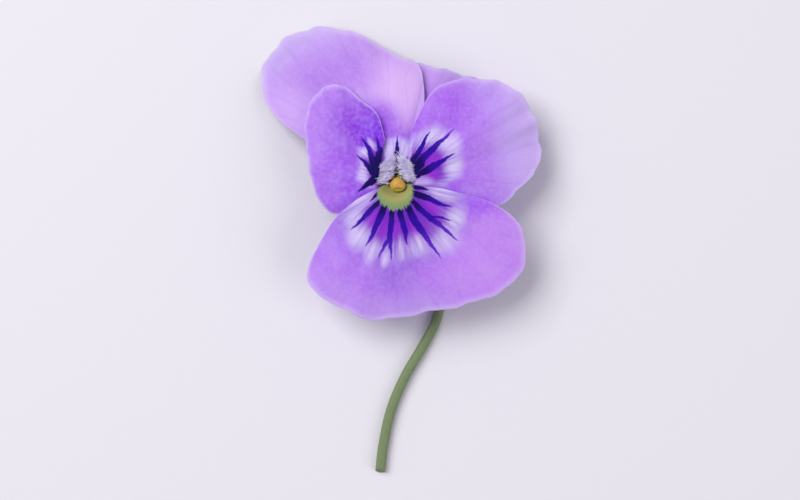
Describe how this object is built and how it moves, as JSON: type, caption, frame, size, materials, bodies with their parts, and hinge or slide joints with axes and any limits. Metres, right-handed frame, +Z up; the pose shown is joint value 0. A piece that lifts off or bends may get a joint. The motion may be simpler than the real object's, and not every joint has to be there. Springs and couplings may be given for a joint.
{
  "type": "pansy flower",
  "caption": "Picked pansy bloom lying face up: overlapping velvety petals, a spur and sepals behind, anthers and stigma in the throat, and a hooked stalk.",
  "frame": {"origin": "middle of the flower's outline, on the surface that it lies on", "axes": "+Z up from the surface and out of the bloom's face, +Y towards the bloom's top and away from the stalk's cut end, +X to the right when looking at the face"},
  "size_m": [0.0534, 0.0858, 0.0137],
  "materials": {
    "petal_pale": "velvety pale lilac petal",
    "petal_violet": "velvety violet petal with a white and indigo marked throat",
    "sepal": "dull dark green",
    "stalk": "dull olive green with a violet tinge",
    "anther": "dull orange",
    "stigma": "moist yellow green"
  },
  "bodies": {
    "root": {"petal_lower": "petal_violet", "petal_side_left": "petal_violet", "petal_side_right": "petal_violet", "petal_upper_left": "petal_pale", "petal_upper_right": "petal_pale", "sepal_top": "sepal", "sepal_upper_left": "sepal", "sepal_upper_right": "sepal", "sepal_lower_left": "sepal", "sepal_lower_right": "sepal", "stamens": "anther", "pistil": "stigma", "stem": "stalk"}
  },
  "joints": []
}
